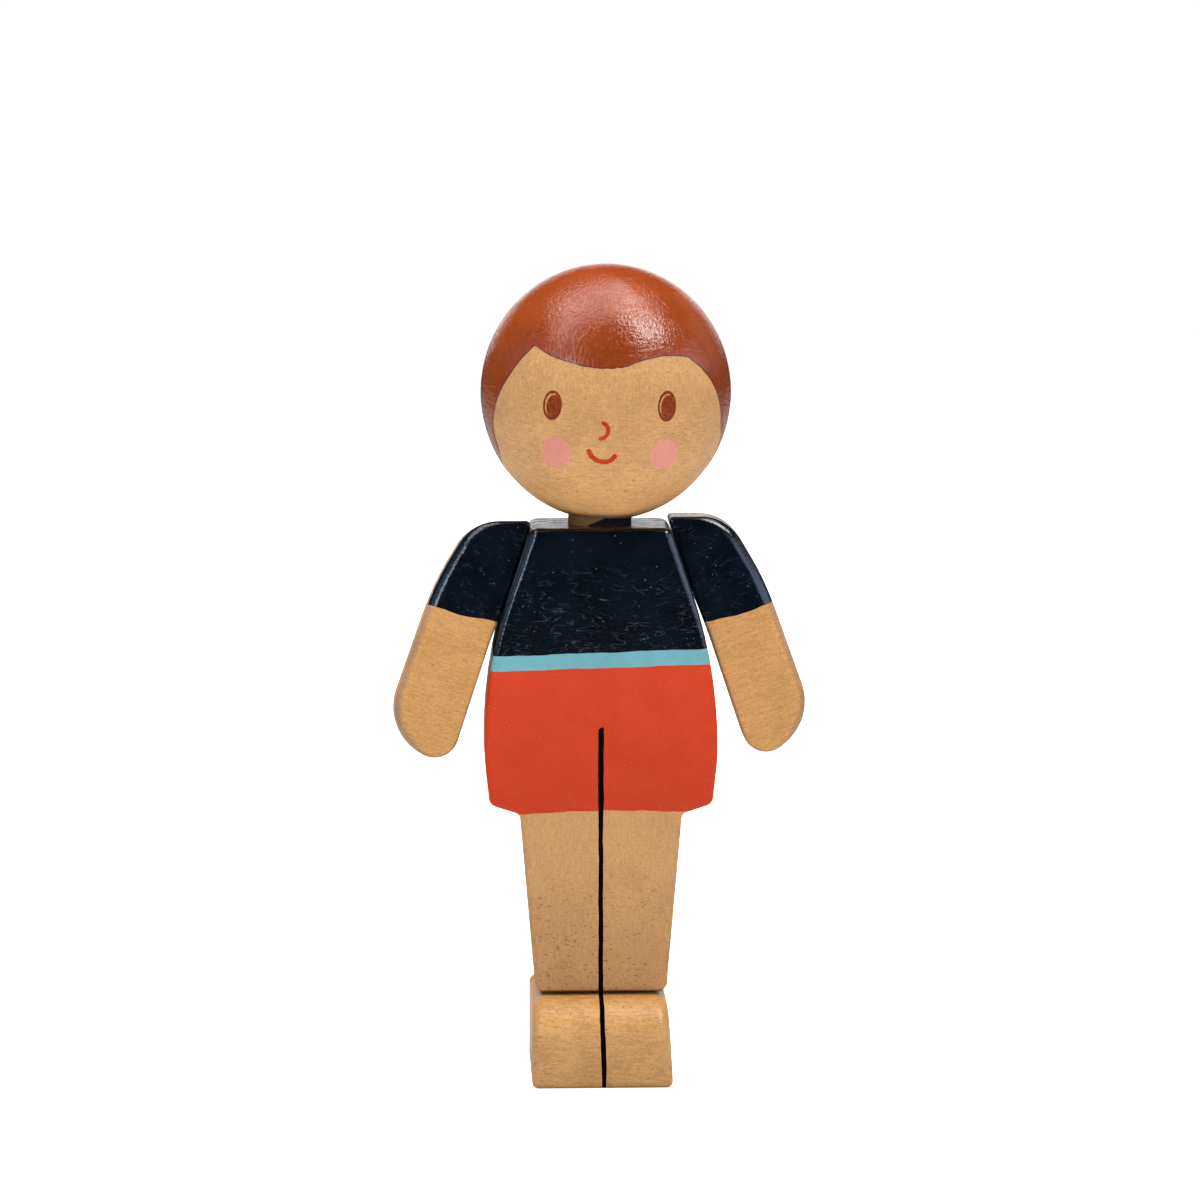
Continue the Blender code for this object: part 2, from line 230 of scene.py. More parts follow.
def of_mesh(mesh):
    shape = bmesh.new()
    shape.from_mesh(mesh)
    return shape


def cylinder(radius, length, start, along, sides=ROUND_SIDES):
    shape = bmesh.new()
    bmesh.ops.create_cone(
        shape, cap_ends=True, segments=sides, radius1=radius, radius2=radius, depth=length
    )
    bmesh.ops.translate(shape, verts=shape.verts, vec=(0, 0, length / 2))
    shape.transform(Matrix.Translation(start) @ UP.rotation_difference(along).to_matrix().to_4x4())
    return as_mesh(shape)


def carved(mesh, tools, operation="DIFFERENCE"):
    """The mesh after each tool mesh is taken from it, or after it is kept only inside the tools."""
    target = show("carved", mesh)
    helpers = [show("tool", tool) for tool in tools]
    for helper in helpers:
        modifier = target.modifiers.new("carve", "BOOLEAN")
        modifier.operation = operation
        modifier.solver = "EXACT"
        modifier.object = helper
    bpy.context.view_layer.update()
    graph = bpy.context.evaluated_depsgraph_get()
    result = bpy.data.meshes.new_from_object(target.evaluated_get(graph))
    for obj in [target] + helpers:
        bpy.data.objects.remove(obj)
    return result


def open_carved(mesh, tools, operation="DIFFERENCE"):
    """The carved mesh, open for more work, with the edges inside its flat faces gone."""
    shape = of_mesh(carved(mesh, tools, operation))
    bmesh.ops.dissolve_limit(shape, angle_limit=FLAT_ANGLE, verts=shape.verts, edges=shape.edges)
    return shape


def grid_cut(shape, extra_x=()):
    """Cuts a mesh into cells by planes square to the three axes; extra_x adds some across x."""
    low = [min(v.co[axis] for v in shape.verts) for axis in range(3)]
    high = [max(v.co[axis] for v in shape.verts) for axis in range(3)]
    for axis in range(3):
        normal = Vector((axis == 0, axis == 1, axis == 2))
        count = max(2, round((high[axis] - low[axis]) / CELL))
        levels = [low[axis] + (high[axis] - low[axis]) * i / count for i in range(1, count)]
        if axis == 0:
            levels += list(extra_x)
        for level in levels:
            everything = shape.verts[:] + shape.edges[:] + shape.faces[:]
            bmesh.ops.bisect_plane(
                shape, geom=everything, dist=1e-6, plane_co=normal * level, plane_no=normal
            )


def cut_along(shape, distance):
    """Adds edges where a signed distance is zero, so that a paint's border follows it."""
    verts = list(shape.verts)
    places = vert_places(shape)
    values = distance(places)
    snapped = np.abs(values) < 0.006 * MM
    index = {v: i for i, v in enumerate(verts)}
    border = {v for v, near in zip(verts, snapped) if near}
    crossed = []
    for edge in shape.edges:
        i, j = index[edge.verts[0]], index[edge.verts[1]]
        if not (snapped[i] or snapped[j]) and values[i] * values[j] < 0:
            crossed.append((edge, i, j))
    if crossed:
        a = places[[i for _, i, _ in crossed]]
        b = places[[j for _, _, j in crossed]]
        start = values[[i for _, i, _ in crossed]]
        low, high = np.zeros(len(crossed)), np.ones(len(crossed))
        for _ in range(16):
            middle = (low + high) / 2
            here = distance(a + (b - a) * middle[:, None])
            same = here * start > 0
            low, high = np.where(same, middle, low), np.where(same, high, middle)
        for (edge, i, j), share in zip(crossed, (low + high) / 2):
            border.add(bmesh.utils.edge_split(edge, verts[i], share)[1])
    for face in list(shape.faces):
        corners = [v for v in face.verts if v in border]
        if len(corners) < 2:
            continue
        pairs = []
        for n, one in enumerate(corners):
            other = corners[(n + 1) % len(corners)]
            joined = any(other in edge.verts for edge in one.link_edges)
            if not joined and (other, one) not in pairs:
                pairs.append((one, other))
        for one, other in pairs:
            middle = (one.co + other.co) / 2
            off = abs(distance(np.array([tuple(middle)]))[0])
            if off > 0.2 * (one.co - other.co).length:
                continue
            shared = [f for f in one.link_faces if other in f.verts]
            if shared:
                bmesh.utils.face_split(shared[0], one, other)


def centres(shape):
    return np.array([tuple(face.calc_center_median()) for face in shape.faces])


def vert_places(shape):
    return np.array([tuple(v.co) for v in shape.verts])


def paint(shape, distance, slot, over=None):
    """Cuts the mesh along a border and gives the slot to the faces on its positive side."""
    cut_along(shape, distance)
    inside = distance(centres(shape)) > 0
    for face, chosen in zip(shape.faces, inside):
        if chosen and (over is None or face.material_index in over):
            face.material_index = slot


def raise_paint(shape, distance):
    """Lifts the paint's surface off the wood, over a narrow slope at its border."""
    cut_along(shape, lambda p: distance(p) - PAINT_SLOPE)
    shape.normal_update()
    values = distance(vert_places(shape))
    for vert, value in zip(shape.verts, values):
        lift = min(max(value / PAINT_SLOPE, 0), 1)
        if lift:
            vert.co += vert.normal * PAINT_HEIGHT * lift


def finish_piece(node, shape, place, materials, body, **layers):
    """Turns a shape in its own frame into the shown form of a node, with that frame kept for the grain.

    Each of the layers is a distance that the materials read, kept in millimetres.
    """
    shape.normal_update()
    local = vert_places(shape)
    mesh = as_mesh(shape)
    mesh.name = f"{node}_painted"
    grain = mesh.attributes.new("grain", "FLOAT_VECTOR", "POINT")
    grain.data.foreach_set("vector", (local / MM).astype(np.float32).ravel())
    for layer, distance in layers.items():
        values = mesh.attributes.new(layer, "FLOAT", "POINT")
        values.data.foreach_set("value", (distance(local) / MM).astype(np.float32))
    mesh.transform(place)
    mesh.shade_smooth()
    mesh.set_sharp_from_angle(angle=SHARP_ANGLE)
    for material in materials:
        mesh.materials.append(material)
    piece = show(mesh.name, mesh)
    even = piece.modifiers.new("even shading", "WEIGHTED_NORMAL")
    even.keep_sharp = True
    even.weight = 80
    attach(piece, body)
    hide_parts(node)


def wave(x, seed, size, length):
    """A hand's small wavering along a line, always the same for the same seed."""
    total = 0.0
    for k, (stretch, share) in enumerate(((1.0, 0.5), (0.47, 0.3), (0.21, 0.2))):
        start = seed * (1.7 + k) + k * 2.1
        total = total + share * np.sin(2 * np.pi * x / (length * stretch) + start)
    return size * total


def smooth_between(x, low, high):
    """0 at the low value and 1 at the high one, with a soft rise between them."""
    t = np.clip((x - low) / (high - low), 0, 1)
    return t * t * (3 - 2 * t)


# Materials


class Nodes:
    """A node tree, built one node at a time."""

    def __init__(self, tree):
        self.tree = tree

    def add(self, kind, inputs=(), out=0, **settings):
        node = self.tree.nodes.new("ShaderNode" + kind)
        for key, value in settings.items():
            setattr(node, key, value)
        for socket, value in dict(inputs).items():
            self.put(node.inputs[socket], value)
        return node.outputs[out]

    def put(self, socket, value):
        if isinstance(value, bpy.types.NodeSocket):
            self.tree.links.new(value, socket)
        else:
            socket.default_value = value

    def place(self, scale=(1, 1, 1), shift=(0, 0, 0), turn=(0, 0, 0)):
        """The piece's own coordinates in millimetres, stretched as asked."""
        own = self.add("Attribute", out="Vector", attribute_name="grain")
        return self.add("Mapping", {"Vector": own, "Scale": scale, "Location": shift, "Rotation": turn})

    def height(self):
        return self.add("SeparateXYZ", {0: self.place()}, out="Z")

    def layer(self, name):
        return self.add("Attribute", out="Fac", attribute_name=name)

    def noise(self, place, scale=1.0, detail=3.0, rough=0.5, distortion=0.0):
        values = {"Vector": place, "Scale": scale, "Detail": detail}
        values.update({"Roughness": rough, "Distortion": distortion})
        return self.add("TexNoise", values, out="Fac")

    def spread(self, value, low, high, to_low=0.0, to_high=1.0, smooth=True):
        """The value, moved from one range to another and held inside it."""
        values = {"Value": value, "From Min": low, "From Max": high, "To Min": to_low, "To Max": to_high}
        kind = "SMOOTHSTEP" if smooth else "LINEAR"
        return self.add("MapRange", values, interpolation_type=kind)

    def math(self, operation, a, b=0.0):
        return self.add("Math", {0: a, 1: b}, operation=operation)

    def times(self, a, b):
        return self.math("MULTIPLY", a, b)

    def total(self, first, *others):
        for other in others:
            first = self.math("ADD", first, other)
        return first

    def band(self, value, rise, fall):
        """1 between two edges of a value and 0 outside them, softly."""
        return self.times(self.spread(value, *rise), self.spread(value, *fall))

    def mix(self, share, a, b, blend="MIX"):
        node = self.tree.nodes.new("ShaderNodeMix")
        node.data_type = "RGBA"
        node.blend_type = blend
        self.put(node.inputs["Factor"], share)
        self.put(node.inputs["A"], a)
        self.put(node.inputs["B"], b)
        return node.outputs["Result"]

    def fade(self, color, low, high, share):
        """Painted shade: the colour, darkened to a share of itself towards a lower height in millimetres."""
        tone = self.spread(self.height(), low, high, share, 1.0, smooth=False)
        grey = self.add("CombineColor", {"Red": tone, "Green": tone, "Blue": tone})
        return self.mix(1.0, color, grey, "MULTIPLY")

    def dots(self, place, scale, size, share):
        """Sparse round dots, one in a share of the cells of a random pattern."""
        near = self.add("TexVoronoi", {"Vector": place, "Scale": scale}, out="Distance")
        chance = self.add("SeparateColor", {"Color": near.node.outputs["Color"]}, out="Red")
        dot = self.spread(near, size * 0.6, size, 1.0, 0.0)
        return self.times(dot, self.math("LESS_THAN", chance, share))

    def ridges(self, place, scale, width):
        """Thin winding ridges, where a soft noise passes its middle value."""
        soft = self.noise(place, scale, 2.0, 0.5, 0.8)
        off = self.math("ABSOLUTE", self.math("SUBTRACT", soft, 0.5))
        return self.spread(off, 0.0, width, 1.0, 0.0)


class Surface(Nodes):
    """The node tree of a material, round its one shader."""

    def __init__(self, name, **sockets):
        self.material = bpy.data.materials.new(name)
        self.material.use_nodes = True
        super().__init__(self.material.node_tree)
        self.shader = self.tree.nodes["Principled BSDF"]
        for socket, value in sockets.items():
            title = socket.replace("_", " ").title().replace("Ior", "IOR")
            self.shader.inputs[title].default_value = value

    def finish(self, color, roughness=None, bumps=()):
        """Plugs the colour in, and the bumps: each a height, its strength and its depth in millimetres."""
        self.put(self.shader.inputs["Base Color"], color)
        if roughness is not None:
            self.put(self.shader.inputs["Roughness"], roughness)
        normal = None
        for height, strength, distance in bumps:
            values = {"Height": height, "Strength": strength, "Distance": distance * MM}
            if normal:
                values["Normal"] = normal
            normal = self.add("Bump", values)
        if normal:
            self.put(self.shader.inputs["Normal"], normal)
            self.put(self.shader.inputs["Coat Normal"], normal)
        return self.material


def srgb(red, green, blue):
    """Linear colour of an 8-bit screen colour."""
    def linear(value):
        value /= 255
        return value / 12.92 if value <= 0.04045 else ((value + 0.055) / 1.055) ** 2.4
    return (linear(red), linear(green), linear(blue), 1.0)


GLOSS_PAINT = {
    "ior": 1.5, "roughness": 0.5, "specular_ior_level": 0.0, "coat_weight": 1.0, "coat_roughness": 0.12
}
GLINT = srgb(240, 184, 106)
PIT = srgb(92, 62, 42)
LEG_TAN = srgb(184, 138, 90), srgb(210, 160, 107)
UNDER_NAVY = srgb(88, 62, 48), srgb(108, 78, 60)
UNDER_SLEEVE = srgb(190, 140, 88), srgb(222, 168, 108)


def wood_material(
    name, dark, light, seed, streaks, pits=0.69, painted_shades=(), pitted=None, turned=None, gold=0.3, rim=None,
    coat=0.08,
):
    """Varnished wood: soft blotches, streaks along the grain, fine specks and short dark pits.

    streaks scales the grain's noise. turned is a range of heights over which the grain turns upright,
    and pitted one over which the pits set in. gold is the share of warm glints, and each of the
    painted shades darkens the wood below a height, as painted shade. rim is multiplied into the colour
    of the rounded edge, as painted shade where the edge turns from the light.
    """
    m = Surface(name, ior=1.5, specular_ior_level=0.15, coat_weight=coat, coat_roughness=0.3)
    blobs = m.noise(m.place(shift=(seed, 0, seed)), 0.25, 3, 0.55)
    lines = m.noise(m.place(streaks, (seed, 3, 1)), 1.7, 4, 0.65)
    height = m.height()
    if turned:
        upright = m.noise(m.place((3.6, 3.6, 0.5), (seed, 3, 8)), 1.6, 4, 0.65)
        lines = m.add("Mix", {"Factor": m.spread(height, *turned), "A": lines, "B": upright}, out="Result")
    specks = m.noise(m.place((1.0, 1.0, 1.6), (0, seed, 0)), 3.0, 4, 0.7)
    share = m.total(m.times(blobs, 0.45), m.times(lines, 0.85), m.times(specks, 0.9))
    color = m.mix(m.spread(share, 0.83, 1.37), dark, light)
    glints = m.noise(m.place((1.0, 1.0, 1.3), (4, seed, 6)), 3.3, 3, 0.6)
    color = m.mix(m.times(m.spread(glints, 0.54, 0.7), gold), color, GLINT)
    # Painted shade: each one darkens the wood towards the bottom.
    for low, high, tone in painted_shades:
        color = m.fade(color, low, high, tone)
    # Painted shade on the rounded rim, in the rim's tint.
    if rim:
        edge = m.band(m.layer("rim"), (0.02, 0.3), (1.5, 0.9))
        color = m.mix(edge, color, m.mix(1.0, color, rim, "MULTIPLY"))

    holes = m.noise(m.place((0.8, 0.8, 2.2), (seed, 7, 2)), 2.6, 1, 0.4)
    rare = m.noise(m.place(shift=(2, seed, 5)), 0.2, 1, 0.4)
    hole = m.times(m.spread(holes, pits, pits + 0.05), m.spread(rare, 0.32, 0.47))
    if pitted:
        hole = m.times(hole, m.spread(height, *pitted, 0.15, 1.0))
    color = m.mix(m.times(hole, 0.55), color, PIT)
    roughness = m.spread(specks, 0.3, 0.7, 0.4, 0.54)
    relief = m.total(m.times(lines, 0.6), m.times(specks, 0.6))
    return m.finish(color, roughness, [(m.math("SUBTRACT", relief, hole), 0.6, 0.03)])


def gloss_navy(name, seed, stroke_turn, worn_colors, raggedness, wrinkled, wrinkles, top):
    """Thick gloss paint with wrinkles, brush marks and dust specks, worn off where its wear layer says.
    The dust specks, the wrinkles' ridges and streaks along the brush marks are painted pale: painted
    highlights.

    stroke_turn slants the brush marks. wrinkled is a range of heights over which the wrinkles set in,
    and wrinkles their strength, as bumps and as the painted highlight on their ridges. Above the height top
    the paint is dull.
    """
    m = Surface(name, **GLOSS_PAINT)
    height = m.height()
    slanted = (0, stroke_turn, 0)
    wide = m.noise(m.place(shift=(seed, 0, 0)), 0.3, 2, 0.5)
    grains = m.noise(m.place(shift=(1, seed, 0)), 3.2, 2, 0.6)
    brushed = m.noise(m.place((0.8, 1.0, 2.6), (seed, 2, 4), slanted), 2.0, 3, 0.6, 0.4)
    # Pale specks: dust, painted as bright as the glints of light it catches.
    dust_glints = m.dots(m.place(shift=(seed, 0, 3)), 1.5, 0.085, 0.3)
    some = m.spread(m.noise(m.place(shift=(3, seed, 0)), 0.8, 2, 0.5), 0.46, 0.57)
    ridges = m.ridges(m.place((0.45, 1.0, 1.5), (seed, 2, 4), slanted), 0.8, 0.015)
    ridges = m.times(m.times(ridges, some), m.spread(height, *wrinkled))

    color = m.mix(m.spread(wide, 0.35, 0.65), srgb(5, 12, 21), srgb(9, 18, 29))
    # Painted highlight: the dust specks are mixed in pale blue-grey.
    color = m.mix(m.times(dust_glints, 0.6), color, srgb(150, 166, 182))
    # Painted highlight: the wrinkles' ridges are coloured pale blue, as if they catch the light.
    color = m.mix(m.times(ridges, wrinkles * 1.5), color, srgb(78, 100, 128))
    # Painted sheen: pale blue streaks along the brush marks stand for their reflections.
    streaks = m.noise(m.place((0.5, 1.0, 3.4), (seed, 8, 4), slanted), 2.2, 3, 0.6, 0.3)
    color = m.mix(m.times(m.spread(streaks, 0.54, 0.74), 0.14), color, srgb(25, 37, 54))

    ragged = m.total(m.math("SUBTRACT", wide, 0.47), m.times(m.math("SUBTRACT", grains, 0.5), 0.5))
    worn = m.total(m.layer("wear"), m.times(ragged, raggedness))
    lines = m.noise(m.place((0.4, 0.4, 3.6), (9, 3, 1)), 1.7, 4, 0.65)
    wood_share = m.total(m.times(lines, 0.55), m.times(grains, 0.45))
    bare = m.mix(m.spread(wood_share, 0.38, 0.62), *worn_colors)
    color = m.mix(m.spread(worn, 0.0, 0.12), color, bare)

    uneven = m.spread(height, top, top + 0.2, 0.1, 0.8)
    patches = m.noise(m.place((0.35, 1.6, 1.0), (seed, 5, 0)), 1.3, 3, 0.6)
    gloss = m.spread(height, top, top + 0.2, 1.0, 0.0)
    gloss = m.math("MAXIMUM", gloss, m.spread(patches, 0.36, 0.56, 0.45, 1.0))
    m.put(m.shader.inputs["Coat Weight"], gloss)
    bumps = [(ridges, wrinkles, 0.04), (brushed, uneven, 0.08), (grains, 0.3, 0.08), (dust_glints, 0.7, 0.05)]
    return m.finish(color, None, bumps)


def paint_material(
    name, dark, light, seed, roughness, coat=0.05, strokes=(0.5, 0.5, 0.5), fade=None, gloss=0.2
):
    """Brushed satin paint with soft blotches and a little pale grit; fade darkens it downwards as painted
    shade.
    """
    m = Surface(name, ior=1.48, specular_ior_level=gloss, coat_weight=coat, coat_roughness=0.25)
    wide = m.noise(m.place(shift=(seed, 1, 0)), 0.2, 3, 0.5)
    brushed = m.noise(m.place(strokes, (0, seed, 0)), 2.0, 4, 0.6)
    fine = m.noise(m.place(shift=(seed, 0, 9)), 6.0, 2, 0.5)
    share = m.total(m.times(wide, 0.7), m.times(brushed, 0.3))
    color = m.mix(m.spread(share, 0.4, 0.6), dark, light)
    if fade:
        color = m.fade(color, *fade)
    grit = m.dots(m.place(shift=(seed, 4, 0)), 1.6, 0.1, 0.12)
    color = m.mix(m.times(grit, 0.35), color, srgb(248, 214, 190))
    color = m.mix(m.spread(fine, 0.62, 0.5, 0.0, 0.1), color, (0, 0, 0, 1))
    rough = m.spread(fine, 0.3, 0.7, roughness - 0.05, roughness + 0.06)
    return m.finish(color, rough, [(m.total(brushed, m.times(fine, 0.5)), 0.4, 0.03), (grit, 0.5, 0.03)])


def hair_material():
    """Gloss paint with brush marks that run upright in some patches and level in others."""
    m = Surface("hair_paint", **GLOSS_PAINT)
    wide = m.noise(m.place(shift=(4, 1, 0)), 0.16, 2, 0.5)
    upright = m.noise(m.place((2.0, 2.0, 0.45), (0, 3, 0)), 1.5, 2, 0.6, 0.3)
    level = m.noise(m.place((0.45, 0.45, 2.2), (5, 0, 1)), 1.5, 2, 0.6, 0.3)
    fine = m.noise(m.place((1.4, 1.4, 0.8)), 2.4, 2, 0.6)
    patches = m.spread(m.noise(m.place(shift=(7, 2, 2)), 0.22, 1, 0.5), 0.45, 0.58)
    strokes = m.add("Mix", {"Factor": patches, "A": upright, "B": level}, out="Result")
    color = m.mix(m.spread(wide, 0.35, 0.65), srgb(136, 57, 22), srgb(148, 66, 27))
    color = m.mix(m.times(m.spread(strokes, 0.5, 0.75), 0.5), color, srgb(170, 80, 38))
    border = m.spread(m.layer("hairline"), 0.05, 0.17)
    color = m.mix(border, srgb(98, 42, 40), color)
    m.put(m.shader.inputs["Coat Weight"], m.spread(m.total(fine, strokes), 0.8, 1.15, 0.62, 1.0))
    return m.finish(color, None, [(strokes, 0.6, 0.12), (fine, 0.75, 0.06)])


def eye_material():
    """Brown paint with a light crescent at the upper left, between a dark outline and the iris."""
    m = Surface(
        "eye_paint", ior=1.48, roughness=0.5, specular_ior_level=0.1, coat_weight=0.15, coat_roughness=0.2
    )
    fine = m.noise(m.place(shift=(3, 1, 0)), 4.0, 2, 0.5)
    iris = m.mix(m.spread(fine, 0.38, 0.62), srgb(119, 46, 19), srgb(150, 68, 29))
    glow = m.mix(m.spread(fine, 0.4, 0.6), srgb(206, 130, 60), srgb(222, 168, 110))
    outline = m.mix(m.spread(fine, 0.35, 0.6), srgb(96, 36, 16), srgb(146, 60, 22))
    inside = m.spread(m.layer("eye_ring"), 0.16, 0.24)
    shine = m.times(m.spread(m.layer("eye_crescent"), -0.03, 0.06), inside)
    color = m.mix(shine, m.mix(inside, outline, iris), glow)
    return m.finish(color, None, [(fine, 0.3, 0.03)])


def elastic_material():
    m = Surface("elastic", ior=1.45, roughness=0.85)
    braid = m.add("TexWave", {"Vector": m.place(), "Scale": 2.2, "Distortion": 2.0, "Detail": 2.0}, out="Fac")
    fine = m.noise(m.place(), 4.0, 3, 0.6)
    color = m.mix(m.spread(m.total(braid, fine), 0.6, 1.4), srgb(196, 190, 176), srgb(232, 228, 218))
    return m.finish(color, None, [(braid, 0.6, 0.06)])


# Painted shade: the legs darken downwards, and their bottom rim is painted near-black as the shadow in the
# joint above the feet.
wood = wood_material(
    "bare_wood", *LEG_TAN, 1.0, (3.6, 0.5, 0.4), 0.645,
    painted_shades=[(11.0, 25.0, 0.84), (9.95, 10.25, 0.2)], pitted=(26.0, 18.0), gold=0.25,
)
# Painted shade: the wood darkens at the bottom of the ball and on the neck, as the shadow under the head.
head_wood = wood_material(
    "head_wood", srgb(190, 142, 92), srgb(222, 168, 112), 5.0, (0.45, 0.45, 2.8), 0.7,
    painted_shades=[(0.85, 1.7, 0.45)], turned=(12.0, 17.0),
)
# Painted shade: the lower arm darkens downwards, and its rounded rim is darkened as painted shade with a
# bluish painted sheen.
arm_wood = wood_material(
    "arm_wood", srgb(188, 136, 80), srgb(222, 166, 103), 9.0, (0.4, 0.4, 3.6), 0.7,
    painted_shades=[(-24.0, -8.0, 0.92)], rim=(0.7, 0.76, 1.15, 1),
)
# Painted shade: the foot darkens below its top.
foot_wood = wood_material(
    "foot_wood", srgb(196, 144, 88), srgb(235, 179, 112), 13.0, (0.5, 0.9, 2.6), 0.68,
    painted_shades=[(5.0, 9.4, 0.86)], gold=0.5, coat=0.5,
)
plug_wood = wood_material("plug_wood", srgb(188, 142, 96), srgb(214, 168, 118), 21.0, (4.0, 0.6, 0.6))
navy = gloss_navy("navy_paint", 2.0, -0.35, UNDER_NAVY, 0.5, (60.0, 53.0), 0.19, 61.2)
sleeve_navy = gloss_navy("sleeve_paint", 7.0, 0.3, UNDER_SLEEVE, 0.6, (90.0, 89.0), 0.12, 80.0)
flank_navy = paint_material("flank_paint", srgb(5, 9, 15), srgb(11, 17, 25), 4.0, 0.7, 0.0)
belt = paint_material("belt_paint", srgb(113, 178, 188), srgb(120, 187, 197), 3.0, 0.42, 0.1)
# Painted shade: the shorts darken towards their hem.
shorts = paint_material(
    "red_paint", srgb(220, 68, 34), srgb(225, 72, 38), 8.0, 0.45, fade=(31.0, 45.0, 0.82), gloss=0.1
)
line = paint_material("line_paint", srgb(4, 4, 4), srgb(12, 10, 10), 5.0, 0.6, 0.0, gloss=0.0)
cheeks = paint_material("cheek_paint", srgb(227, 147, 128), srgb(231, 152, 133), 2.0, 0.55)
lips = paint_material(
    "lip_paint", srgb(172, 38, 17), srgb(206, 68, 29), 6.0, 0.5, strokes=(1.5, 1.5, 1.5), gloss=0.1
)
hair = hair_material()
eyes = eye_material()


# Body board


def board_outline():
    half = [
        (TORSO_TOP_WIDTH / 2, TORSO_TOP_Z, 1.2 * MM),
        (HIP_WIDTH / 2, WAIST_Z, 54 * MM),
        (HIP_WIDTH / 2, HIP_Z, 20 * MM),
        (HEM_WIDTH / 2, HEM_Z, 1.1 * MM),
        (LEG_TOP_WIDTH / 2, LEG_TOP_Z, 0.8 * MM),
        (LEG_BOTTOM_WIDTH / 2, LEG_BOTTOM_Z, 1.0 * MM),
    ]
    return rounded_outline(half + [(-across, up, radius) for across, up, radius in reversed(half)])


def board_rim(x, z):
    """Radius of the board's rounded rim, smaller over the middle of the torso's top."""
    levels = [9.9, 12.5, 29, 31, 46, 57, 60.6, 61.5]
    radii = [0.62, 0.9, 0.9, 0.75, 0.65, 1.0, 1.05, 0.9]
    top = smooth_between(np.abs(x) / MM, 6.9, 4.5) * smooth_between(z / MM, 61.3, 61.45)
    return np.interp(z / MM, levels, radii) * MM - 0.35 * MM * top


def inward(p, thickness):
    """How far a point is inwards from the nearer of a board's two flat faces."""
    return thickness / 2 - np.abs(p[:, 1])


def worn_torso(p):
    """How far a point is inside the band where the paint wears off the rim; wider over the top."""
    radius = board_rim(p[:, 0], p[:, 2])
    depth = inward(p, BOARD_THICKNESS)
    width = (-0.15 + 2.6 * smooth_between(p[:, 2] / MM, 60.9, 61.3)) * MM
    return np.minimum(depth - 0.7 * radius, radius + width - depth)


def above(p, level, seed, size, length):
    """How far a point is above a painted border, which wavers by hand around a level."""
    return p[:, 2] - level - wave(p[:, 0] + p[:, 1], seed, size * MM, length * MM)


def shirt_border(p):
    return above(p, SHIRT_Z + 0.0337 * p[:, 0], 1.0, 0.07, 9)


def belt_border(p):
    return above(p, BELT_Z + 0.029 * p[:, 0], 4.0, 0.06, 11)


def hem_border(p):
    arch = 0.35 * MM * (1 - ((p[:, 0] - 1.5 * MM) / (9.5 * MM)) ** 2)
    return above(p, SHORTS_Z + np.maximum(arch, -0.25 * MM), 2.0, 0.06, 4)


def centre_line(p):
    """The drawn line down the front: thicker over the shorts, and slanting on the feet."""
    x, y, z = p.T
    middle = np.interp(z / MM, [0, 9.6, 12, 30, 39], [0.19, -0.07, -0.06, -0.05, -0.04]) * MM
    middle = middle + wave(z, 3.0, 0.035 * MM, 7 * MM)
    half = np.interp(z / MM, [0, 2, 2.6, 9, 29, 31, 39], [0.23, 0.25, 0.29, 0.26, 0.25, 0.31, 0.31]) * MM
    half = half + wave(z, 6.0, 0.02 * MM, 3 * MM)
    over = np.maximum(z - (LINE_TOP_Z - half), 0)
    across = half - np.hypot(x - middle, over)
    return np.where((y < 0) & (z > 0.1 * MM), across, -half)


def foot_dowel_bore(sign, low):
    """Tool for one side's dowel bore, from this height up, with its overrun in the length."""
    start = Vector((sign * FOOT_DOWEL_OFFSET, 0, low))
    return cylinder(FOOT_DOWEL_BORE_RADIUS, FOOT_DOWEL_DEPTH + CUT_PAST, start, UP, BORE_SIDES)


def make_board():
    """Board with its bores and its painted zones, whose narrow sides have a duller navy."""
    mesh = slab(board_outline(), BOARD_THICKNESS, board_rim)
    neck_bore = cylinder(NECK_BORE_RADIUS, NECK_BORE_DEPTH + CUT_PAST, UP * -NECK_BORE_DEPTH, UP)
    neck_bore.transform(NECK_FRAME)
    tools = [neck_bore]
    reach = PIVOT.x / OUT_OF_SIDE.x + CORD_HOLE_RADIUS
    for sign in SIDES.values():
        along = Vector((-sign * OUT_OF_SIDE.x, 0, -OUT_OF_SIDE.z))
        start = Vector((sign * PIVOT.x, 0, PIVOT.z)) - along * CUT_PAST
        tools.append(cylinder(CORD_HOLE_RADIUS, reach + CUT_PAST, start, along, BORE_SIDES))
        tools.append(foot_dowel_bore(sign, LEG_BOTTOM_Z - CUT_PAST))
    shape = open_carved(mesh, tools)
    grid_cut(shape, [x * MM for x in (-0.35, -0.03, 0.3)])
    paint(shape, hem_border, 1)
    paint(shape, belt_border, 2)
    paint(shape, shirt_border, 3)
    paint(shape, centre_line, 4, over=(0, 1))
    places = centres(shape)
    depths = inward(places, BOARD_THICKNESS) - board_rim(places[:, 0], places[:, 2])
    for face, depth, level in zip(shape.faces, depths, places[:, 2]):
        if depth > 0 and face.material_index == 3 and level < FLANK_TOP_Z:
            face.material_index = 5
    materials = [wood, shorts, belt, navy, line, flank_navy]
    finish_piece("body_board", shape, Matrix.Identity(4), materials, "body", wear=worn_torso)


# Feet


def foot_rim(across, z):
    """Rounder above the sole, and sharper along the heel."""
    return (0.7 + 0.8 * smooth_between(z / MM, 0.3, 3)) * MM * np.where(across > 5 * MM, 0.6, 1)


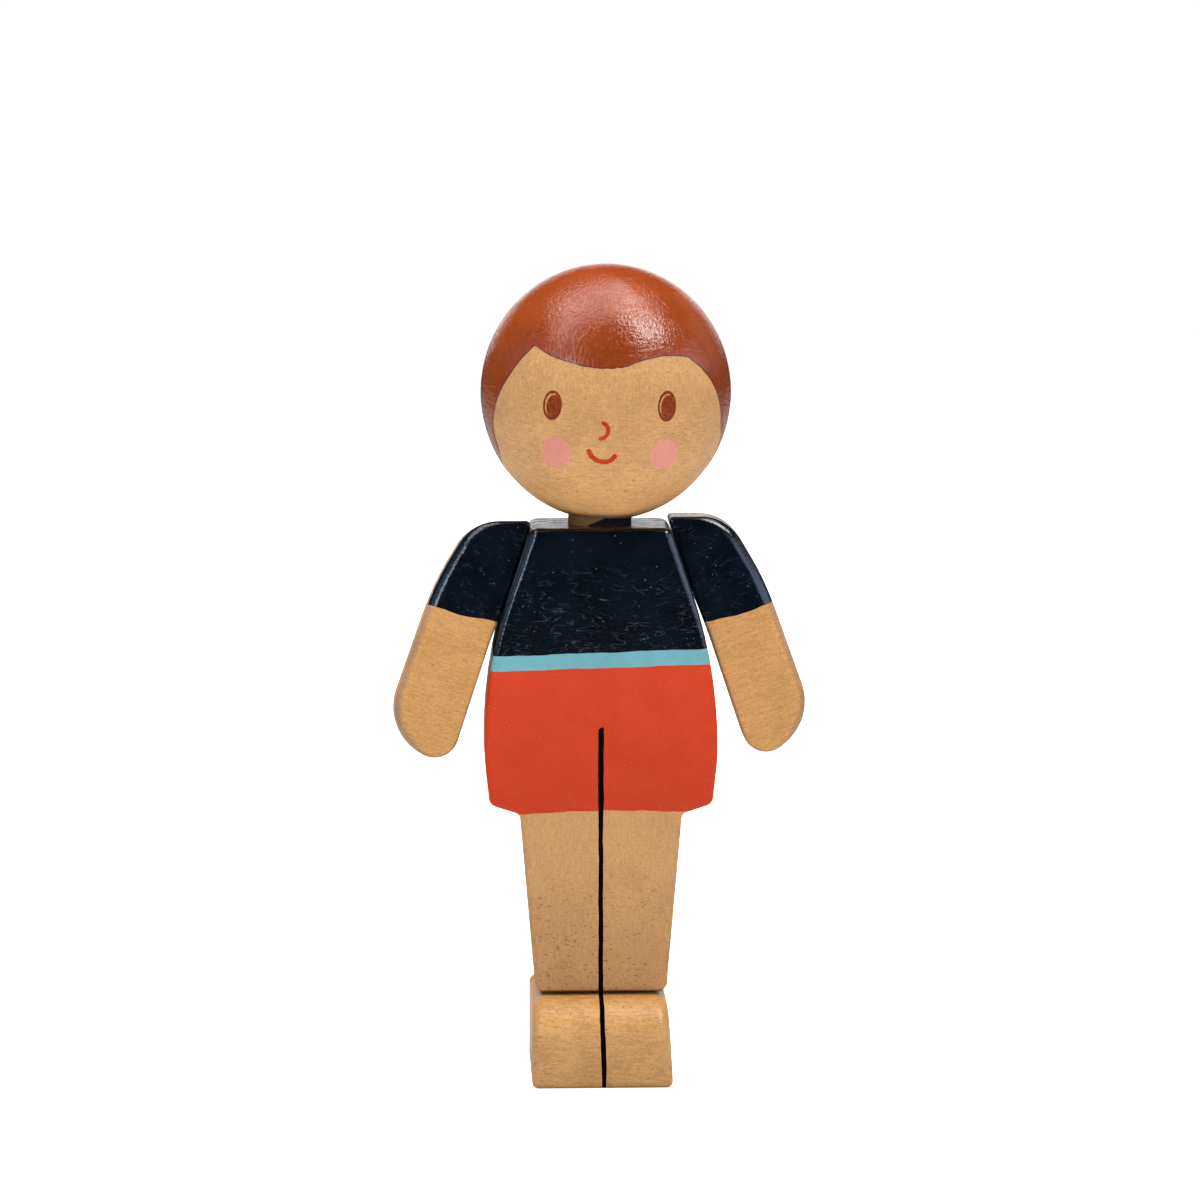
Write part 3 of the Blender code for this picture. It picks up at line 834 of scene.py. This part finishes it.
def make_feet():
    """Block with quarter-round toes, whose left side leans inwards a little."""
    corners = [
        (FOOT_FRONT, FOOT_HEIGHT, 4.4 * MM),
        (FOOT_BACK, FOOT_HEIGHT, 1.0 * MM),
        (FOOT_BACK, 0, 0.9 * MM),
        (FOOT_FRONT, 0, 0.9 * MM),
    ]
    mesh = slab(rounded_outline(corners), FOOT_WIDTH, foot_rim)
    mesh.transform(Matrix.Rotation(math.pi / 2, 4, "Z"))
    bore_floor = FOOT_HEIGHT - FOOT_DOWEL_DEPTH
    shape = open_carved(mesh, [foot_dowel_bore(sign, bore_floor) for sign in SIDES.values()])
    for vert in shape.verts:
        past = max(vert.co.x - 5 * MM, 0)
        vert.co.x -= past * 0.16 * smooth_between(vert.co.z / MM, 0, 10.5)
    grid_cut(shape, [x * MM for x in (-0.25, 0.04, 0.3)])
    paint(shape, centre_line, 1)
    finish_piece("feet_block", shape, Matrix.Identity(4), [foot_wood, line], "body")


# Arms


def arm_rim(x, z):
    """Radius of the arm's rounded rim, larger on the outside."""
    return (0.46 + 0.86 * smooth_between(np.abs(x) / MM, 1.0, 6.5)) * MM


def arm_mesh(side):
    """Arm in its own frame: x out of the torso's side, z up along it, from the shoulder's axis."""
    rise = ARM_TOP_RISE[side]
    slant = math.tan(SIDE_TILT)
    corners = [
        (ARM_INNER, rise - ARM_INNER * slant, 0.5 * MM),
        (ARM_TOP_WIDTH, rise - ARM_TOP_WIDTH * slant, 5.2 * MM),
        (ARM_SHOULDER_WIDTH, -ARM_SHOULDER_LENGTH, 33 * MM),
        (ARM_HAND_WIDTH, -ARM_OUTER_LENGTH, 6 * MM),
        (0, -ARM_LENGTH, 2.7 * MM),
        (0, -ARM_LEVEL_START, 30 * MM),
        (ARM_INNER, -ARM_INNER_END, 30 * MM),
    ]
    drop = ARM_HOLE_DROP[side]
    outline = rounded_outline([(SIDES[side] * out, up + drop, radius) for out, up, radius in corners])
    return slab(outline, ARM_THICKNESS, arm_rim)


def sleeve_border(side):
    """Lower edge of the sleeve, measured along the arm."""
    ends = {"left": (-6.29, -6.75, -6.6), "right": (-6.5, -7.05, -7.1)}[side]
    seed = {"left": 2.0, "right": 5.0}[side]

    def distance(p):
        across = np.abs(p[:, 0]) / MM
        return above(p, np.interp(across, [0, 3.6, 8], ends) * MM, seed, 0.07, 5)
    return distance


def worn_arm(p):
    return inward(p, ARM_THICKNESS) - arm_rim(p[:, 0], p[:, 2]) * 0.9


def arm_rim_share(p):
    """0 on the arm's flat faces and 1 where its rounded rim ends."""
    return inward(p, ARM_THICKNESS) / arm_rim(p[:, 0], p[:, 2]) * MM


def make_arm(side):
    """Arm with its hole for the cord, its knot's recess and the plug that closes it."""
    sign = SIDES[side]
    out = Vector((sign, 0, 0))
    place = Matrix.Translation((sign * PIVOT.x, 0, PIVOT.z))
    place = place @ Matrix.Rotation(-sign * SIDE_TILT, 4, "Y") @ Matrix.Rotation(-SWING[side], 4, "X")
    hole = cylinder(CORD_HOLE_RADIUS, THROUGH, -out * FIT, out, BORE_SIDES)
    recess = cylinder(PLUG_RECESS_RADIUS, THROUGH, out * ARM_WEB, out, PLUG_SIDES)
    shape = open_carved(arm_mesh(side), [hole, recess])
    grid_cut(shape)
    paint(shape, sleeve_border(side), 1)
    name = f"{side}_arm"
    finish_piece(name, shape, place, [arm_wood, sleeve_navy], name, wear=worn_arm, rim=arm_rim_share)

    plug = cylinder(PLUG_RADIUS, THROUGH, out * PLUG_START, out, PLUG_SIDES)
    shape = open_carved(plug, [arm_mesh(side)], "INTERSECT")
    grid_cut(shape)
    finish_piece(f"{name}_plug", shape, place, [plug_wood], name)


# Neck


def neck_paint(p):
    """Navy smeared up the neck, on the doll's left of a slanting edge."""
    slant = 2.0 * np.clip(0.75 * MM - p[:, 2], -0.5 * MM, 0.75 * MM)
    return p[:, 0] - 0.1 * MM + np.where(p[:, 1] < 0, slant, 0)


def make_neck():
    low = FIT - NECK_BORE_DEPTH
    shape = of_mesh(cylinder(NECK_RADIUS, NECK_TOP - low, UP * low, UP))
    rims = []
    for edge in shape.edges:
        a, b = (vert.co.z for vert in edge.verts)
        if abs(a - b) < SAME_PLACE and len(edge.link_faces) == 2:
            rims.append(edge)
    bmesh.ops.bevel(shape, geom=rims, offset=NECK_CHAMFER, segments=3, profile=0.5, affect="EDGES")
    grid_cut(shape)
    paint(shape, neck_paint, 1)
    finish_piece("neck_dowel", shape, NECK_FRAME, [head_wood, flank_navy], "body")


# Head


HEAD_SEGMENTS = 192
HEAD_RINGS = 128
HEAD_BORE_RINGS = 12

# Painted hairline seen from the front, clockwise from its lower left: x, z and y from the ball's centre
HAIR_LEFT = [(-11.275, -7.289, -3.378), (-11.646, -6.14, -4.194), (-12.184, -4.322, -4.78),
             (-12.28, -2.461, -5.701), (-11.935, -0.562, -6.806), (-11.061, 1.568, -8.024),
             (-9.734, 3.7, -9.016), (-8.281, 5.466, -9.596)]
HAIR_FRINGE = [(-8.281, 5.466, -9.596), (-6.408, 4.468, -11.359), (-3.109, 3.676, -12.905),
               (-0.494, 3.556, -13.296), (1.477, 3.817, -13.154), (3.447, 4.561, -12.546),
               (5.671, 5.029, -11.526), (8.301, 4.981, -9.826)]
HAIR_RIGHT = [(8.301, 4.981, -9.826), (10.1, 3.47, -8.695), (11.487, 1.656, -7.383),
              (12.401, -1.341, -5.793), (12.498, -2.508, -5.185), (12.596, -4.455, -3.396),
              (12.109, -6.38, -1.93)]
HAIR_NAPE = [(11.3, -7.9, -0.2), (9.2, -9.6, 3.2), (5.2, -10.6, 7.2), (0.0, -10.9, 8.6),
             (-5.2, -10.6, 7.0), (-9.0, -9.8, 2.6), (-10.7, -8.5, -1.2)]


def smooth_run(points, parts=8):
    """A smooth run of points through the given ones."""
    padded = [2 * np.array(points[0]) - np.array(points[1])] + [np.array(p) for p in points]
    padded.append(2 * padded[-1] - padded[-2])
    result = []
    for a, b, c, d in zip(padded, padded[1:], padded[2:], padded[3:]):
        slope, bend, twist = c - a, 2 * a - 5 * b + 4 * c - d, 3 * b - a - 3 * c + d
        for i in range(parts):
            t = i / parts
            result.append(0.5 * (2 * b + slope * t + bend * t**2 + twist * t**3))
    return result


def from_centre(p):
    return p - np.array([0, 0, HEAD_CENTRE])


def polar(p):
    """Turn about the face's middle axis, and angle away from it."""
    across = np.hypot(p[:, 0], p[:, 2])
    return np.arctan2(p[:, 2], p[:, 0]), np.arctan2(across, -p[:, 1])


def hairline_table():
    """The hairline as turns about the face's middle axis, in order, and angles away from it."""
    around = HAIR_RIGHT[-1:] + HAIR_NAPE + HAIR_LEFT[:1]
    points = smooth_run(HAIR_LEFT) + smooth_run(HAIR_FRINGE) + smooth_run(HAIR_RIGHT) + smooth_run(around)
    spots = np.array([(x, y, z) for x, z, y in points])
    turn, away = polar(spots)
    order = np.argsort(turn)
    return turn[order], away[order]


HAIR_TURN, HAIR_AWAY = hairline_table()


def hairline(p):
    """How far a point is inside the painted hair."""
    turn, away = polar(from_centre(p))
    edge = np.interp(turn, HAIR_TURN, HAIR_AWAY, period=2 * np.pi)
    edge = edge + wave(turn, 1.0, 0.004, 0.35)
    slope = (np.interp(turn + 0.02, HAIR_TURN, HAIR_AWAY, period=2 * np.pi)
             - np.interp(turn - 0.02, HAIR_TURN, HAIR_AWAY, period=2 * np.pi)) / 0.04
    steep = np.hypot(1, np.minimum(np.abs(slope) / np.maximum(np.sin(away), 0.2), 6))
    return (away - edge) * HEAD_RADIUS / steep


# Eyes and cheeks: centre in x and z, half width, half height and turn. Nose and mouth: points in x, z
EYES = [(-6.16, -0.72, 1.0, 1.62, 0.03), (6.17, -0.27, 1.0, 1.68, 0.0)]
CHEEKS = [(-5.5, -5.8, 1.52, 1.74, -0.4), (6.14, -5.6, 1.48, 1.76, 0.5)]
NOSE = [(-0.66, -2.28), (-0.34, -2.45), (-0.1, -2.8), (-0.06, -3.2), (-0.19, -3.6), (-0.48, -3.92),
        (-0.84, -4.02)]
MOUTH = [(-2.02, -5.47), (-1.7, -6.02), (-1.27, -6.36), (-0.64, -6.58), (-0.03, -6.56), (0.47, -6.34),
         (0.8, -5.9)]
NOSE_HALF_WIDTH = 0.22
MOUTH_HALF_WIDTH = 0.27


def front(p):
    """Millimetres across and up from the ball's centre, and which points lie on its front."""
    x, y, z = from_centre(p).T / MM
    return x, z, y < 0


def ellipse(p, centre_x, centre_z, half_x, half_z, turn):
    """How far a point is inside a turned ellipse, roughly."""
    x, z, facing = front(p)
    across = (x - centre_x) * math.cos(turn) - (z - centre_z) * math.sin(turn)
    up = (x - centre_x) * math.sin(turn) + (z - centre_z) * math.cos(turn)
    length = np.hypot(across / half_x, up / half_z)
    return np.where(facing, (1 - length) * half_x, -half_x) * MM


def eye_area(p):
    return np.maximum(*[ellipse(p, *eye) for eye in EYES])


def eye_crescent(p):
    """Light sickle in each eye: inside the outline but outside the iris, which sits low and right."""
    result = []
    for x, z, half_x, half_z, turn in EYES:
        inner = ellipse(p, x, z + 0.03, half_x - 0.17, half_z - 0.19, turn)
        iris = ellipse(p, x + 0.14, z - 0.15, half_x - 0.23, half_z - 0.33, turn)
        result.append(np.minimum(inner, -iris))
    return np.maximum(*result)


def cheek_area(p):
    return np.maximum(*[ellipse(p, *cheek) for cheek in CHEEKS])


def stroke(p, points, half):
    """How far a point is inside a brush stroke along a run of points."""
    x, z, facing = front(p)
    nearest = np.full(len(x), 99.0)
    for (ax, az), (bx, bz) in zip(points, points[1:]):
        length = (bx - ax) ** 2 + (bz - az) ** 2
        t = np.clip(((x - ax) * (bx - ax) + (z - az) * (bz - az)) / length, 0, 1)
        nearest = np.minimum(nearest, np.hypot(x - ax - t * (bx - ax), z - az - t * (bz - az)))
    return np.where(facing, half - nearest, -half) * MM


def lip_area(p):
    return np.maximum(stroke(p, NOSE, NOSE_HALF_WIDTH), stroke(p, MOUTH, MOUTH_HALF_WIDTH))


def head_ball():
    """Turned ball from its top down, and on up the sides of its blind bore to the flat end."""
    rim = math.pi - math.asin(NECK_BORE_RADIUS / HEAD_RADIUS)
    profile = []
    for i in range(HEAD_RINGS + 1):
        angle = rim * i / HEAD_RINGS
        level = HEAD_CENTRE + HEAD_HALF_HEIGHT * math.cos(angle)
        profile.append((HEAD_RADIUS * math.sin(angle), level))
    low = profile[-1][1]
    for i in range(1, HEAD_BORE_RINGS + 1):
        profile.append((NECK_BORE_RADIUS, low + (NECK_BORE_END - low) * i / HEAD_BORE_RINGS))
    shape = bmesh.new()
    rings = []
    for radius, level in profile[1:]:
        ring = []
        for k in range(HEAD_SEGMENTS):
            angle = 2 * math.pi * k / HEAD_SEGMENTS
            ring.append(shape.verts.new((radius * math.sin(angle), -radius * math.cos(angle), level)))
        rings.append(ring)
    top = shape.verts.new((0, 0, profile[0][1]))
    for k in range(HEAD_SEGMENTS):
        j = (k + 1) % HEAD_SEGMENTS
        shape.faces.new((top, rings[0][k], rings[0][j]))
        for upper, lower in zip(rings, rings[1:]):
            shape.faces.new((upper[k], lower[k], lower[j], upper[j]))
    shape.faces.new(rings[-1])
    bmesh.ops.recalc_face_normals(shape, faces=shape.faces)
    return shape


def refine_face(shape):
    """Cuts the ball finer where its face is painted, and puts the new points on the ball."""
    places = centres(shape)
    near = np.maximum.reduce([eye_area(places), cheek_area(places), lip_area(places)]) > -0.5 * MM
    edges = {edge for face, chosen in zip(shape.faces, near) if chosen for edge in face.edges}
    bmesh.ops.subdivide_edges(shape, edges=list(edges), cuts=3, use_grid_fill=True)
    reach = np.array([HEAD_RADIUS, HEAD_RADIUS, HEAD_HALF_HEIGHT])
    for vert in shape.verts:
        place = from_centre(np.array(vert.co))
        size = np.linalg.norm(place / reach)
        if size > 0.97 and vert.co.y < -5 * MM:
            vert.co = Vector(place / size) + UP * HEAD_CENTRE


def outside_bore(p):
    return (np.hypot(p[:, 0], p[:, 1]) > NECK_BORE_RADIUS * 1.001) | (p[:, 2] > HEAD_CENTRE)


def outer_hairline(p):
    return np.where(outside_bore(p), hairline(p), -1)


def make_head():
    """Ball with its painted hair and face; the bore stays bare."""
    shape = head_ball()
    refine_face(shape)
    paint(shape, hairline, 1)
    for slot, area in enumerate((eye_area, cheek_area, lip_area), 2):
        paint(shape, area, slot, over=(0,))
    for face, keep in zip(shape.faces, outside_bore(centres(shape))):
        if not keep:
            face.material_index = 0
    raise_paint(shape, outer_hairline)
    layers = {"hairline": hairline, "eye_ring": eye_area, "eye_crescent": eye_crescent}
    finish_piece("head", shape, NECK_FRAME, [head_wood, hair, eyes, cheeks, lips], "head", **layers)


# Hidden pieces keep their solids


def own_place(material):
    """Hidden solids have no grain of their own, so their pattern follows the object."""
    m = Nodes(material.node_tree)
    for node in list(m.tree.nodes):
        if node.bl_idname == "ShaderNodeAttribute":
            for link in list(node.outputs["Vector"].links):
                own = m.add("TexCoord", out="Object")
                scaled = m.add("VectorMath", {0: own, "Scale": 1 / MM}, operation="SCALE")
                m.tree.links.new(scaled, link.to_socket)


def finish_hidden():
    inner_wood = wood_material("inner_wood", *LEG_TAN, 3.0, (3.6, 3.6, 0.4))
    elastic = elastic_material()
    finishes = {"foot_dowel_left": inner_wood, "foot_dowel_right": inner_wood, "elastic_cord": elastic}
    for material in (inner_wood, elastic):
        own_place(material)
    for node, material in finishes.items():
        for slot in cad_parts[node].material_slots:
            slot.material = material


make_board()
make_feet()
for arm_side in SIDES:
    make_arm(arm_side)
make_neck()
make_head()
finish_hidden()


# Studio


MIRRORED_FLOOR_SHARE = 0.62
FLOOR_HALF_WIDTH = 0.7
FLOOR_FRONT = -0.2
STAGE_BACK = 0.9
BACKDROP_HALF_WIDTH = 0.35
AIM = Vector((0, 0, 0.06))


def white_stage(name, half_width, near, far, tone, lit, mirrored):
    """White rectangle between two edges, each given by its y and z; the camera sees it as pure white.

    tone is its colour, lit its glow on other surfaces and mirrored its glow in reflections.
    """
    mesh = bpy.data.meshes.new(name)
    corners = [(-half_width, *near), (half_width, *near), (half_width, *far), (-half_width, *far)]
    mesh.from_pydata(corners, [], [(0, 1, 2, 3)])
    m = Surface(name, roughness=0.9, specular_ior_level=0.0)
    rays = m.add("LightPath").node.outputs
    dim = tone * MIRRORED_FLOOR_SHARE
    tones = m.mix(rays["Is Glossy Ray"], (tone, tone, tone, 1), (dim, dim, dim, 1))
    m.put(m.shader.inputs["Base Color"], tones)
    seen = m.times(rays["Is Camera Ray"], 1.0 - lit)
    gloss = m.times(rays["Is Glossy Ray"], mirrored - lit)
    white = m.add("Emission", {"Color": (1, 1, 1, 1), "Strength": m.total(seen, gloss, lit)})
    both = m.add("AddShader", {0: m.shader.outputs[0], 1: white})
    output = next(n for n in m.tree.nodes if n.bl_idname == "ShaderNodeOutputMaterial")
    m.tree.links.new(both, output.inputs["Surface"])
    mesh.materials.append(m.material)
    show(name, mesh)


# Soft round windows that only the gloss shows: direction, outer and inner angle, brightness
SPOTS = [
    ((0.34, 0.1, 0.94), 17, 6, 3.2),
    ((0.42, -0.18, 0.89), 14, 5, 6.0),
    ((0.54, -0.28, 0.79), 17, 5, 15.0),
    ((-0.45, 0.1, 0.89), 15, 4, 3.4),
    ((-0.54, -0.29, 0.79), 16, 4, 4.4),
    ((-0.64, -0.50, 0.58), 11, 4, 2.4),
]


def studio_world():
    """White to the camera, dim to the surfaces, with pale windows low on both sides in reflections."""
    world = bpy.data.worlds.new("studio")
    bpy.context.scene.world = world
    world.use_nodes = True
    m = Nodes(world.node_tree)
    rays = m.add("LightPath").node.outputs
    toward = m.add("TexCoord", out="Generated")
    x, y, z = m.add("SeparateXYZ", {0: toward}).node.outputs
    ahead = m.spread(y, 0.35, 0.0)
    level = m.times(m.band(z, (0.03, 0.12), (0.6, 0.45)), ahead)
    strip = m.times(m.band(x, (-0.76, -0.7), (-0.46, -0.54)), level)
    left = m.times(m.spread(x, -0.74, -0.84), level)
    low = m.times(level, m.spread(z, 0.48, 0.32))
    right = m.times(m.spread(x, 0.35, 0.55), low)
    behind = m.times(m.band(z, (0.0, 0.15), (0.6, 0.4)), m.spread(x, 0.5, 0.65))
    color = m.mix(behind, (0.03, 0.03, 0.03, 1), (0.3, 0.28, 0.26, 1))
    color = m.mix(strip, color, (6.5, 7.4, 8.6, 1))
    color = m.mix(left, color, (0.45, 0.75, 1.25, 1))
    color = m.mix(right, color, (1.9, 2.2, 3.1, 1))
    for direction, outer, inner, glow in SPOTS:
        ends = {0: toward, 1: Vector(direction).normalized()}
        facing = m.add("VectorMath", ends, "Value", operation="DOT_PRODUCT")
        share = m.spread(facing, math.cos(math.radians(outer)), math.cos(math.radians(inner)))
        color = m.mix(share, color, (glow, glow, glow, 1))
    ambient = m.mix(m.spread(z, 0.0, -0.1), (0.15, 0.15, 0.15, 1), (0.55, 0.55, 0.55, 1))
    color = m.mix(rays["Is Glossy Ray"], ambient, color)
    color = m.mix(rays["Is Camera Ray"], color, (1, 1, 1, 1))
    m.put(m.tree.nodes["Background"].inputs["Color"], color)


def softbox(name, direction, distance, width, height, radiance, color=(1, 1, 1), mirrored=False):
    """Area lamp of a given brightness, facing the doll."""
    lamp = bpy.data.lights.new(name, "AREA")
    lamp.shape = "RECTANGLE"
    lamp.size = width
    lamp.size_y = height
    lamp.color = color
    lamp.energy = radiance * math.pi * width * height
    obj = show(name, lamp)
    obj.location = AIM + Vector(direction).normalized() * distance
    obj.rotation_euler = (AIM - obj.location).to_track_quat("-Z", "Y").to_euler()
    obj.visible_glossy = mirrored


white_stage("floor", FLOOR_HALF_WIDTH, (FLOOR_FRONT, 0), (STAGE_BACK, 0), 0.7, 0.0, 0.0)
white_stage("backdrop", BACKDROP_HALF_WIDTH, (STAGE_BACK, 0.09), (STAGE_BACK, 0.3), 0.0, 0.3, 1.35)
studio_world()
softbox("overhead", (-0.03, 0.08, 0.99), 0.7, 0.55, 0.6, 2.9, mirrored=True)
softbox("overhead_fill", (-0.03, 0.0, 1.0), 0.8, 0.6, 0.6, 4.6)
softbox("top_back", (0.05, 0.36, 0.93), 0.7, 0.5, 0.3, 8.0)
softbox("strip_left", (-0.606, -0.673, 0.5), 0.6, 0.1, 0.4, 1.0)
softbox("key_right", (0.64, -0.38, 0.66), 0.6, 0.3, 0.3, 1.2)
softbox("window_left", (-0.92, 0.0, 0.38), 0.6, 0.4, 0.4, 0.4, (0.55, 0.75, 1.0))
softbox("side_right", (0.75, -0.57, 0.33), 0.6, 0.3, 0.3, 0.5)
softbox("front", (0.0, -1.0, 0.2), 0.6, 0.5, 0.5, 1.57)

CAMERA_PLACE = Vector((-0.01815, -0.51968, 0.118))
CAMERA_TARGET = Vector((0.00006, 0, 0.0529))
camera_data = bpy.data.cameras.new("camera")
camera_data.sensor_width = 36
camera_data.sensor_fit = "HORIZONTAL"
camera_data.lens = 141.93
camera = show("camera", camera_data)
camera.location = CAMERA_PLACE
camera.rotation_euler = (CAMERA_TARGET - CAMERA_PLACE).to_track_quat("-Z", "Y").to_euler()
bpy.context.scene.camera = camera
bpy.context.scene.view_settings.view_transform = "Standard"
